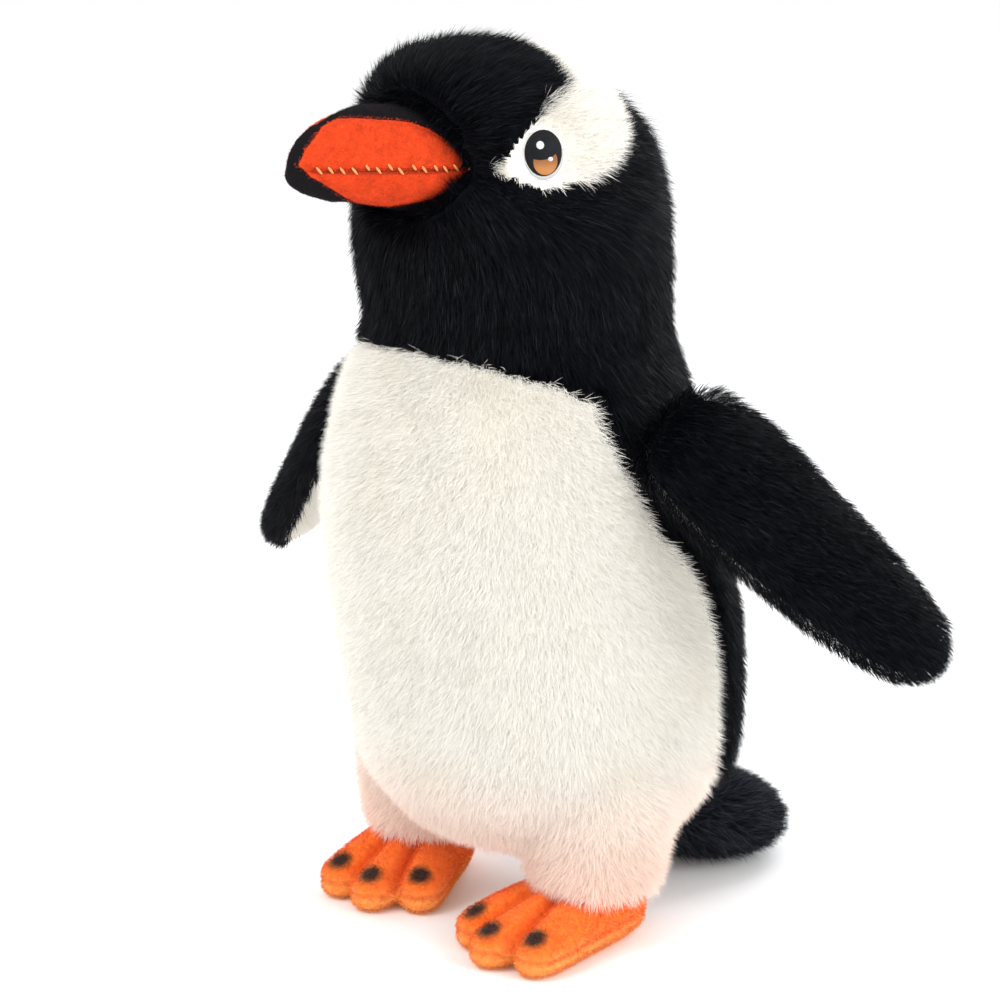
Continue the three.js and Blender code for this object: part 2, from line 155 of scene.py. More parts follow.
class Shader:
    """A material and the nodes that feed its one surface shader."""

    def __init__(self, name, **constants):
        self.material = bpy.data.materials.new(name)
        self.material.use_nodes = True
        self.tree = self.material.node_tree
        self.surface = next(n for n in self.tree.nodes if n.type == "BSDF_PRINCIPLED")
        for socket, value in constants.items():
            self.surface.inputs[socket.replace("_", " ")].default_value = value

    def node(self, kind, settings=None, inputs=None, output=0):
        made = self.tree.nodes.new(kind)
        for key, value in (settings or {}).items():
            setattr(made, key, value)
        for key, value in (inputs or {}).items():
            self.connect(made.inputs[key], value)
        return Value(self, made.outputs[output])

    def connect(self, socket, value):
        if isinstance(value, Value):
            self.tree.links.new(value.socket, socket)
        else:
            socket.default_value = value

    def feed(self, **links):
        for socket, value in links.items():
            self.connect(self.surface.inputs[socket.replace("_", " ")], value)

    def place(self):
        return self.node("ShaderNodeTexCoord", output="Object")

    def noise(self, scale, detail=2.0, roughness=0.5):
        return self.node(
            "ShaderNodeTexNoise",
            inputs={
                "Vector": self.place(), "Scale": scale, "Detail": detail, "Roughness": roughness,
            },
            output="Fac",
        )

    def mixed(self, factor, first, second):
        return self.node(
            "ShaderNodeMix", {"data_type": "RGBA"}, {0: factor, 6: first, 7: second}, output=2
        )

    def between(self, value, low, high):
        """0 below low, 1 above high and smooth in between."""
        return self.node(
            "ShaderNodeMapRange",
            {"interpolation_type": "SMOOTHSTEP"},
            {"Value": value, "From Min": low, "From Max": high},
        )

    def bump(self, height, strength, distance):
        return self.node(
            "ShaderNodeBump", inputs={"Height": height, "Strength": strength, "Distance": distance}
        )

    def parts(self, vector):
        """The three numbers of a vector."""
        first = self.node("ShaderNodeSeparateXYZ", inputs={0: vector})
        return [Value(self, socket) for socket in first.socket.node.outputs]

    def attribute(self, name):
        return self.node("ShaderNodeAttribute", {"attribute_name": name}, output="Vector")

    def scaled(self, vector, scale):
        return self.node(
            "ShaderNodeVectorMath", {"operation": "SCALE"}, {0: vector, "Scale": scale}
        )

    def dot(self, vector, direction):
        return self.node(
            "ShaderNodeVectorMath", {"operation": "DOT_PRODUCT"}, {0: vector, 1: tuple(direction)},
            output="Value",
        )

    def distance(self, point):
        """How far the surface is from a point, in metres."""
        return self.node(
            "ShaderNodeVectorMath", {"operation": "DISTANCE"}, {0: self.place(), 1: point},
            output="Value",
        )


def solid_color(color, gain=1.0):
    return (color[0] * gain, color[1] * gain, color[2] * gain, 1.0)


# ---- mesh helpers ----
def activate(piece):
    for other in bpy.context.selected_objects:
        other.select_set(False)
    piece.select_set(True)
    bpy.context.view_layer.objects.active = piece


def finish_with(piece, kind, **settings):
    """Adds a modifier and applies it."""
    activate(piece)
    modifier = piece.modifiers.new(kind.lower(), kind)
    for key, value in settings.items():
        setattr(modifier, key, value)
    bpy.ops.object.modifier_apply(modifier=modifier.name)


def shade_smooth(piece):
    activate(piece)
    bpy.ops.object.shade_smooth()


def linked(mesh):
    """A new object in the scene, named after its mesh."""
    piece = bpy.data.objects.new(mesh.name, mesh)
    bpy.context.scene.collection.objects.link(piece)
    return piece


def vectors_of(elements, field):
    flat = np.empty(len(elements) * 3, np.float32)
    elements.foreach_get(field, flat)
    return flat.reshape(-1, 3).astype(float)


def points_of(mesh):
    return vectors_of(mesh.vertices, "co")


def normals_of(mesh):
    return vectors_of(mesh.vertices, "normal")


def set_points(mesh, points):
    mesh.vertices.foreach_set("co", points.astype(np.float32).ravel())
    mesh.update()


def shell(name, nodes, voxel):
    """One closed skin around copies of frame nodes."""
    form = bmesh.new()
    for node in nodes:
        form.from_mesh(NODES[node].data)
    bmesh.ops.remove_doubles(form, verts=form.verts, dist=0.01 * MM)
    mesh = bpy.data.meshes.new(name)
    form.to_mesh(mesh)
    form.free()
    piece = linked(mesh)
    finish_with(piece, "REMESH", mode="VOXEL", voxel_size=voxel)
    activate(piece)
    bpy.ops.mesh.separate(type="LOOSE")
    parts = sorted(bpy.context.selected_objects, key=lambda part: part.dimensions.length)
    for part in parts[:-1]:
        bpy.data.objects.remove(part)
    parts[-1].name = parts[-1].data.name = name
    return parts[-1]


def plumped(piece, cap, pressure=4.0, frames=20):
    """Blows the skin up like a stuffed form, each point by no more than the cap."""
    rest = points_of(piece.data)
    activate(piece)
    cloth = piece.modifiers.new("cloth", "CLOTH")
    cloth.settings.use_pressure = True
    cloth.settings.uniform_pressure_force = pressure
    cloth.settings.effector_weights.gravity = 0.0
    cloth.point_cache.frame_end = frames
    for step in range(1, frames + 1):
        bpy.context.scene.frame_set(step)
    bpy.ops.object.modifier_apply(modifier=cloth.name)
    bpy.context.scene.frame_set(1)
    moved = points_of(piece.data) - rest
    reach = np.linalg.norm(moved, axis=1, keepdims=True)
    set_points(piece.data, rest + moved * np.minimum(1.0, cap / np.maximum(reach, 1e-9)))


def pulled_in(piece, by):
    set_points(piece.data, points_of(piece.data) - normals_of(piece.data) * by)


def stuffed(name, nodes, voxel, cap, inset):
    """A plump skin that lies a little under the frame's surface, as backing for the pile."""
    piece = shell(name, nodes, voxel)
    finish_with(piece, "SMOOTH", factor=0.5, iterations=4)
    pulled_in(piece, inset + ((cap * 0.6)))
    plumped(piece, cap)
    finish_with(piece, "SMOOTH", factor=0.5, iterations=2)
    finish_with(piece, "SUBSURF", levels=1, render_levels=1)
    shade_smooth(piece)
    return piece


def tree_over(meshes):
    """Finds the nearest surface of these meshes."""
    form = bmesh.new()
    for mesh in meshes:
        form.from_mesh(mesh)
    tree = BVHTree.FromBMesh(form)
    form.free()
    return tree


def tree_of(nodes):
    return tree_over(NODES[node].data for node in nodes)


def nearest_panels(points, panels, favour=None):
    """The index of the panel nearest to each point; favour makes a panel seem nearer, in metres."""
    far = np.full((len(panels), len(points)), 1.0)
    for row, panel in enumerate(panels):
        tree = tree_of([panel])
        less = (favour or {}).get(panel, 0.0)
        for i, point in enumerate(points):
            found = tree.find_nearest(point, 0.03)
            if found[3] is not None:
                far[row, i] = found[3] - less
    return far.argmin(0)


class Cloth:
    """A skin's triangles with their panels, from which pile grows."""

    def __init__(self, piece, panels, favour=None):
        mesh = piece.data
        mesh.calc_loop_triangles()
        corners = np.empty(len(mesh.loop_triangles) * 3, np.int32)
        mesh.loop_triangles.foreach_get("vertices", corners)
        corners = corners.reshape(-1, 3)
        polygons = np.empty(len(mesh.loop_triangles), np.int32)
        mesh.loop_triangles.foreach_get("polygon_index", polygons)
        points = points_of(mesh)
        self.corners = points[corners]
        self.normals = normals_of(mesh)[corners]
        cross = np.cross(
            self.corners[:, 1] - self.corners[:, 0], self.corners[:, 2] - self.corners[:, 0]
        )
        self.areas = np.linalg.norm(cross, axis=1) / 2
        centres = vectors_of(mesh.polygons, "center").tolist()
        self.by_face = nearest_panels(centres, panels, favour)
        self.panel = self.by_face[polygons]
        self.names = list(panels)

    def sample(self, chosen, density, rng):
        """Roots and normals spread evenly, density per square millimetre, over the named panels."""
        keep = np.isin(self.panel, [self.names.index(name) for name in chosen])
        areas = np.where(keep, self.areas, 0.0)
        count = int(areas.sum() * 1e6 * density)
        edges = np.cumsum(areas)
        pick = np.searchsorted(edges, rng.random(count) * edges[-1])
        u, v = rng.random((2, count))
        flip = u + v > 1
        u[flip], v[flip] = 1 - u[flip], 1 - v[flip]
        mix = np.stack([1 - u - v, u, v], 1)[:, :, None]
        return (self.corners[pick] * mix).sum(1), unit((self.normals[pick] * mix).sum(1))


def unit(vectors):
    return vectors / np.maximum(np.linalg.norm(vectors, axis=-1, keepdims=True), 1e-12)


def smooth_step(values, low, high):
    t = np.clip((values - low) / (high - low), 0, 1)
    return t * t * (3 - 2 * t)


def ripple(points, wavelength, seed):
    """A smooth wandering value from -1 to 1 over space."""
    rng = np.random.default_rng(seed)
    total = np.zeros(len(points))
    for _ in range(6):
        direction = unit(rng.normal(size=3))
        k = 2 * np.pi / (wavelength * rng.uniform(0.7, 1.5))
        total += np.sin(points @ direction * k + rng.uniform(0, 2 * np.pi))
    return total / 3


def pile(name, roots, normals, flow, length, look, rng):
    """Fibres as thin tapered ribbons. look holds width, lift at root and tip, spread and clump."""
    count = len(roots)
    along = unit(flow - normals * (flow * normals).sum(1, keepdims=True))
    across = np.cross(normals, along)
    turn = rng.normal(0, look["spread"], count) + look["wander"] * ripple(roots, look["wave"], 5)
    turn = turn[:, None]
    along = along * np.cos(turn) + across * np.sin(turn)
    lift = look["lift"] + rng.normal(0, look["uneven"], count)
    lift += look["tuft"] * ripple(roots, look["wave"] * 0.6, 9)
    fall = look["fall"] + rng.normal(0, look["uneven"], count)
    length = length * rng.uniform(0.72, 1.08, count)
    steps = [(0.45, lift), (0.55, lift - fall)]
    points = [roots - normals * look["sunk"]]
    for share, angle in steps:
        step = along * np.cos(angle)[:, None] + normals * np.sin(angle)[:, None]
        points.append(points[-1] + step * (length * share)[:, None])
    drift = np.stack([ripple(roots, 9 * MM, seed) for seed in (1, 2, 3)], 1)
    cells = np.floor(roots / look["cell"] + 0.4 * drift).astype(np.int64)
    keys = (cells * np.array([73856093, 19349663, 83492791])).sum(1)
    _, group = np.unique(keys, return_inverse=True)
    group = group.ravel()
    total = np.bincount(group)[:, None]
    centre = np.stack([np.bincount(group, points[2][:, axis]) for axis in range(3)], 1) / total
    hold = look["clump"] * rng.uniform(0.5, 1.2, count)[:, None]
    points[2] = points[2] + (centre[group] - points[2]) * hold
    ahead = unit(points[2] - points[0])
    side = unit(np.cross(ahead, normals))
    roll = rng.uniform(-0.9, 0.9, count)[:, None]
    side = side * np.cos(roll) + np.cross(ahead, side) * np.sin(roll)
    half = look["width"] / 2 * rng.uniform(0.7, 1.25, count)[:, None]
    ring = np.stack([points[0], points[1] - side * half, points[1] + side * half, points[2]], 1)
    base = np.arange(count)[:, None] * 4
    loops = (base + np.array([0, 2, 1, 1, 2, 3])).ravel()
    mesh = bpy.data.meshes.new(name)
    mesh.vertices.add(count * 4)
    mesh.loops.add(count * 6)
    mesh.polygons.add(count * 2)
    mesh.vertices.foreach_set("co", ring.astype(np.float32).ravel())
    mesh.loops.foreach_set("vertex_index", loops.astype(np.int32))
    mesh.polygons.foreach_set("loop_start", np.arange(0, count * 6, 3, dtype=np.int32))
    mesh.update(calc_edges=True)
    tone = np.zeros((count, 4, 3), np.float32)
    tone[:, :, 0] = np.array([0, 0.45, 0.45, 1])
    tone[:, :, 1] = rng.random(count)[:, None]
    tone[:, :, 2] = (np.random.default_rng(3).random(len(total))[group])[:, None]
    mesh.attributes.new("fibre", "FLOAT_VECTOR", "POINT").data.foreach_set("vector", tone.ravel())
    mesh.polygons.foreach_set("use_smooth", np.ones(count * 2, bool))
    return linked(mesh)


def fibre_parts(shader):
    """How far along its fibre a point is, a number of each fibre and a number of each tuft."""
    return shader.parts(shader.attribute("fibre"))


# ---- finishes ----
def white_pile():
    """Ivory fibres, yellower in patches, with painted shade deep at their roots, a painted glow,
    and painted orange bounce light that makes them rosy low down on the legs.
    """
    s = settings()
    # The emission on this pile is a painted glow that stands in for light scattered inside it.
    shader = Shader(
        "white_pile", Roughness=0.85, Specular_IOR_Level=0.12, Emission_Strength=s.painted_glow,
        Sheen_Weight=0.08,
    )
    along, fibre, tuft = fibre_parts(shader)
    # Painted shade: the pile is darker and warmer deep at its roots, lighter at its tips.
    tone = shader.mixed(along, solid_color(s.shaded_white_root), solid_color(s.white_plush))
    patches = shader.between(shader.noise(35.0, 3.0), 0.4, 0.7)
    tone = shader.mixed(patches * 0.4, tone, solid_color(s.white_warm))
    # Painted orange bounce light: the white pile turns rosy low down on the legs, near the feet.
    height = shader.parts(shader.place())[2]
    low = 1 - shader.between(height, 14 * MM, 60 * MM)
    tone = shader.mixed(low * 0.9, tone, solid_color(s.painted_bounce_white))
    shade = (0.94 + 0.06 * fibre) * (0.97 + 0.03 * tuft)
    tone = shader.scaled(tone, shade)
    shader.feed(Base_Color=tone, Emission_Color=tone)
    return shader.material


def black_pile(name, sheen_streaks):
    """Near-black fibres, a few of them painted a little lighter and bluer towards their tips as
    painted sheen.
    """
    s = settings()
    shader = Shader(name, Roughness=0.5, Specular_IOR_Level=0.09)
    along, fibre, tuft = fibre_parts(shader)
    # Painted sheen: lighter, bluish tips on some fibres.
    sheen_streak = shader.between(fibre, 0.84 - 0.5 * sheen_streaks, 1.0) * along
    dark = shader.mixed(
        sheen_streak * (0.45 + 0.55 * sheen_streaks), solid_color(s.black_plush), solid_color(s.black_sheen_streak)
    )
    shader.feed(Base_Color=dark, Roughness=0.42 + 0.2 * tuft)
    return shader.material


def backing(name, color):
    """The knitted backing that the pile grows from, with a painted glow that keeps the gaps between
    fibres from looking shaded.
    """
    shader = Shader(name, Roughness=0.95, Specular_IOR_Level=0.1, Emission_Strength=0.25)
    knit = shader.noise(900.0, 2.0)
    tone = shader.mixed(knit, solid_color(color, 0.9), solid_color(color))
    shader.feed(Base_Color=tone, Emission_Color=tone, Normal=shader.bump(knit, 0.4, 0.3 * MM))
    return shader.material


def settings():
    return bpy.context.scene.plush_penguin


def color_property(name, description, default):
    return bpy.props.FloatVectorProperty(
        name=name, description=description, default=default, size=3, min=0.0, max=1.0,
        subtype="COLOR",
    )


def length_property(name, description, default):
    return bpy.props.FloatProperty(
        name=name, description=description, default=default, min=0.0, unit="LENGTH",
        subtype="DISTANCE",
    )


class PlushPenguinSettings(bpy.types.PropertyGroup):
    """The sizes and colours of the toy."""

    white_plush: color_property("White pile", "Colour of its tips", (0.97, 0.955, 0.91))
    # Painted shade: the darker colour deep in the white pile.
    shaded_white_root: color_property("White roots", "Colour deep in the white pile", (0.9, 0.87, 0.81))
    white_warm: color_property("Warm white", "Its yellower patches", (0.96, 0.92, 0.83))
    # Painted orange bounce light on the white pile low on the legs.
    painted_bounce_white: color_property("Rosy white", "The white pile low on the legs", (0.97, 0.76, 0.66))
    black_plush: color_property("Black pile", "Colour of the black pile", (0.0025, 0.003, 0.005))
    # Painted sheen: the lighter, bluish colour of some black fibres' tips.
    black_sheen_streak: color_property("Black streaks", "The lighter fibres in it", (0.06, 0.068, 0.09))
    orange_felt: color_property("Beak felt", "Colour of the beak's sides", (0.74, 0.062, 0.014))
    black_felt: color_property("Dark felt", "Colour of the beak's gusset", (0.006, 0.005, 0.006))
    orange_plush: color_property("Foot tops", "Colour of the feet's short pile", (1.0, 0.19, 0.016))
    sole_plush: color_property("Soles", "Colour of the feet's lower half", (1.0, 0.38, 0.085))
    claw: color_property("Claws", "Colour of the marks on the toes", (0.012, 0.007, 0.006))
    iris: color_property("Iris", "Colour of the eye's crescent", (0.45, 0.17, 0.06))
    pile_length: length_property("Pile length", "Length of the longest pile", 9.6 * MM)
    pile_width: length_property("Fibre width", "Width of one fibre of the pile", 0.2 * MM)
    density: bpy.props.FloatProperty(
        name="Pile density", description="Fibres per square millimetre", default=8.5, min=0.5
    )
    # Painted glow: emission on the pale pile and the feet that stands in for light scattered inside
    # the pile.
    painted_glow: bpy.props.FloatProperty(
        name="Glow", description="Light scattered inside the pale pile", default=0.05, min=0.0
    )


def density():
    return settings().density * 1.0


def look(**changes):
    """How pile lies: its fibres' width, spread, lift and clumping."""
    base = {
        "width": settings().pile_width * 1.0,
        "spread": 0.24, "wander": 0.16, "wave": 14 * MM, "lift": 0.85, "uneven": 0.15,
        "tuft": 0.1, "fall": 0.5, "sunk": 0.3 * MM, "cell": 1.8 * MM, "clump": 0.35,
    }
    base.update(changes)
    return base


def pale_look(**changes):
    """White pile is finer, shorter and stands up more."""
    return look(**{
        "width": 0.72 * look()["width"], "lift": 1.12, "fall": 0.3, "spread": 0.7, "wander": 0.3,
        "cell": 0.9 * MM, "clump": 0.2, "uneven": 0.22, **changes,
    })


def grow(name, roots, normals, flow, length, style, rng, finish):
    """Pile in as many pieces as keep each one light. finish colours each piece and bakes its
    transform.
    """
    count = math.ceil(len(roots) / MOST_FIBRES)
    order = np.array_split(np.argsort(roots[:, 0], kind="stable"), count)
    for number, chosen in enumerate(order, 1):
        part = name if count == 1 else f"{name}_{number}"
        finish(pile(part, roots[chosen], normals[chosen], flow[chosen], length[chosen], style, rng))


def centre_of(node):
    low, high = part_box(node)
    return np.array((low + high) / 2)


def beak_line():
    """The middle of the beak's root and its tip."""
    points = points_of(NODES["beak_stuffing"].data)
    tip = points[points[:, 1].argmin()]
    far = np.linalg.norm(points - tip, axis=1)
    return points[far > 0.85 * far.max()].mean(0), tip


def trunk_flow(roots):
    """Which way the pile is combed: away from the beak on the head, and down below it."""
    root, _ = beak_line()
    down = np.tile([0.0, 0.18, -1.0], (len(roots), 1))
    on_head = smooth_step(roots[:, 2], NECK[2] + 10 * MM, NECK[2] + 38 * MM)[:, None]
    away = unit(roots - root) + np.array([0.0, 0.25, -0.1])
    flow = down * (1 - on_head) + away * on_head
    for side in SIDES:
        eye = centre_of("eye_pupil_" + side)
        off = roots - eye
        near = 1 - smooth_step(np.linalg.norm(off, axis=1), 6 * MM, 11 * MM)
        flow = flow * (1 - near[:, None]) + unit(off) * near[:, None] * 1.2
    return flow


def trunk_length(roots):
    """The pile is short round the eyes, the beak and the face, and long on the back and neck."""
    root, _ = beak_line()
    length = np.full(len(roots), settings().pile_length)
    for side in SIDES:
        off = np.linalg.norm(roots - centre_of("eye_pupil_" + side), axis=1)
        length = length * (0.16 + 0.84 * smooth_step(off, 5.5 * MM, 15 * MM))
    off = np.linalg.norm(roots - root, axis=1)
    return length * (0.72 + 0.28 * smooth_step(off, 14 * MM, 30 * MM))


def shortened_near(roots, panels):
    """Less than 1 within a few millimetres of these panels, so that the pile stops at the seam."""
    tree = tree_of(panels)
    reach = 7 * MM
    found = (tree.find_nearest(root, reach)[3] for root in roots.tolist())
    gap = np.array([reach if far is None else far for far in found])
    return 0.4 + 0.6 * smooth_step(gap, 1.2 * MM, reach)


def trunk_keep(roots, normals, from_beak):
    """No pile grows under the eyes and the beak, or on the legs' undersides."""
    keep = ~((normals[:, 2] < -0.6) & (roots[:, 2] < 18.5 * MM) & (np.abs(roots[:, 0]) > 12 * MM)
             & (roots[:, 1] < 8 * MM))
    for side in SIDES:
        off = roots - centre_of("eye_pupil_" + side)
        keep &= np.linalg.norm(off, axis=1) > EYE_BARE
    beak = tree_of([n for n in NODES if n.startswith("beak_")])
    root, _ = beak_line()
    for i in np.flatnonzero(keep & (np.linalg.norm(roots - root, axis=1) < 32 * MM)):
        keep[i] &= beak.find_nearest(Vector(roots[i]), from_beak)[0] is None
    return keep


class PENGUIN_OT_trunk(bpy.types.Operator):
    """Stuff the body, legs and head and grow their pile"""

    bl_idname = "penguin.trunk"
    bl_label = "Body and head"

    def execute(self, context):
        white, black = white_pile(), black_pile("black_pile", 0.0)
        s = settings()
        skin = stuffed("trunk_skin", [*TRUNK_NODES, *TRUNK_FILLING], *TRUNK_SKIN, 0.0)
        cloth = Cloth(skin, TRUNK_NODES, {
            "back_left": 1.8 * MM, "back_right": 1.8 * MM,
            "face_patch_left": -1.0 * MM, "face_patch_right": -1.0 * MM,
        })
        skin.data.materials.append(backing("black_backing", s.black_plush))
        skin.data.materials.append(backing("white_backing", s.white_plush))
        pale = np.array([TRUNK_NODES[name] == "white" for name in cloth.names])
        skin.data.polygons.foreach_set("material_index", pale[cloth.by_face].astype(np.int32))
        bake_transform(skin)
        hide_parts(*TRUNK_NODES, *TRUNK_FILLING)
        rng = np.random.default_rng(11)
        plans = [
            ("pile_belly", ["belly_panel"], 1.45, 0.66),
            ("pile_back_left", ["back_left"], 0.82, 1.05),
            ("pile_back_right", ["back_right"], 0.82, 1.05),
            ("pile_throat", ["throat_panel", "chin_panel"], 1.0, 0.95),
            ("pile_crown", ["crown_panel"], 1.05, 1.05),
            ("pile_cheek_left", ["head_side_left"], 0.95, 1.1),
            ("pile_cheek_right", ["head_side_right"], 0.95, 1.1),
            ("pile_patch_left", ["face_patch_left"], 1.5, 0.72),
            ("pile_patch_right", ["face_patch_right"], 1.5, 0.72),
            ("pile_leg_left", ["leg_left"], 1.35, 0.74),
            ("pile_leg_right", ["leg_right"], 1.35, 0.74),
            ("pile_base", ["base_panel"], 0.5, 0.6),
        ]
        for name, panels, share, scale in plans:
            roots, normals = cloth.sample(panels, density() * share, rng)
            pale = TRUNK_NODES[panels[0]] == "white"
            keep = trunk_keep(roots, normals, 5.0 * MM if pale else 0.35 * MM)
            roots, normals = roots[keep], normals[keep]
            length = trunk_length(roots) * scale
            if name == "pile_crown":
                length *= 0.55 + 0.45 * shortened_near(roots, PALE_PANELS)
            elif not pale:
                length *= shortened_near(roots, PALE_PANELS)

            def finish(fibres, pale=pale):
                fibres.data.materials.append(white if pale else black)
                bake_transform(fibres)

            grow(
                name, roots, normals, trunk_flow(roots), length,
                pale_look() if pale else look(), rng, finish,
            )
        return {"FINISHED"}


def limb_flow(roots, base, tip):
    return np.tile(unit(np.array(tip) - np.array(base)), (len(roots), 1))


def far_point(node, point):
    points = points_of(NODES[node].data)
    return points[np.linalg.norm(points - np.array(point), axis=1).argmax()]


class PENGUIN_OT_wings(bpy.types.Operator):
    """Stuff both wings and grow their pile"""

    bl_idname = "penguin.wings"
    bl_label = "Wings"

    def execute(self, context):
        white, black = bpy.data.materials["white_pile"], bpy.data.materials["black_pile"]
        rng = np.random.default_rng(23)
        for side in SIDES:
            nodes = [f"wing_{part}_{side}" for part in ("outer", "inner", "stuffing")]
            outer, inner, filling = nodes
            body = "wing_" + side
            skin = stuffed(f"wing_skin_{side}", nodes, *LIMB_SKIN, 0.1 * MM)
            cloth = Cloth(skin, [outer, inner], {outer: 2.2 * MM})
            skin.data.materials.append(bpy.data.materials["black_backing"])
            skin.data.materials.append(bpy.data.materials["white_backing"])
            skin.data.polygons.foreach_set("material_index", cloth.by_face.astype(np.int32))
            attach(skin, body)
            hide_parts(*nodes)
            base = JOINTS[side + "_shoulder"]["pos_m"]
            tip = far_point(filling, base)
            for name, panel, material, slot in (
                (f"pile_wing_outer_{side}", outer, black, "black_plush"),
                (f"pile_wing_inner_{side}", inner, white, "white_plush"),
            ):
                roots, normals = cloth.sample([panel], density(), rng)
                flow = limb_flow(roots, base, tip)
                share = smooth_step(np.linalg.norm(roots - np.array(base), axis=1), 5 * MM, 40 * MM)
                length = settings().pile_length * (0.95 - 0.2 * share)
                style = look(lift=0.95, fall=0.55, spread=0.3)
                if material is white:
                    length *= 0.8 * shortened_near(roots, [outer])
                    style = pale_look(lift=0.8)
                fibres = pile(name, roots, normals, flow, length, style, rng)
                fibres.data.materials.append(material)
                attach(fibres, body)
        return {"FINISHED"}


class PENGUIN_OT_tail(bpy.types.Operator):
    """Stuff the tail and grow its pile"""

    bl_idname = "penguin.tail"
    bl_label = "Tail"

    def execute(self, context):
        rng = np.random.default_rng(37)
        nodes = ["tail_upper", "tail_lower", "tail_stuffing"]
        skin = stuffed("tail_skin", nodes, *LIMB_SKIN, 0.0)
        cloth = Cloth(skin, nodes[:2])
        skin.data.materials.append(bpy.data.materials["black_backing"])
        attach(skin, "tail")
        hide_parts(*nodes)
        base = JOINTS["tail_lift"]["pos_m"]
        roots, normals = cloth.sample(nodes[:2], density(), rng)
        flow = limb_flow(roots, base, far_point("tail_stuffing", base))
        length = np.full(len(roots), settings().pile_length * 1.35)
        length *= 0.4 + 0.6 * smooth_step(roots[:, 2], 3 * MM, 11 * MM)
        tufted = look(lift=0.95, spread=0.7, cell=4.0 * MM, clump=0.85)
        fibres = pile("pile_tail", roots, normals, flow, length, tufted, rng)
        fibres.data.materials.append(black_pile("tail_pile", 1.0))
        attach(fibres, "tail")
        return {"FINISHED"}


def gaps(points, first, second):
    """How much nearer each point is to the first group of nodes than to the second."""
    one, two = tree_of(first), tree_of(second)
    return np.array([
        (two.find_nearest(p)[3] or 0.0) - (one.find_nearest(p)[3] or 0.0) for p in points
    ])


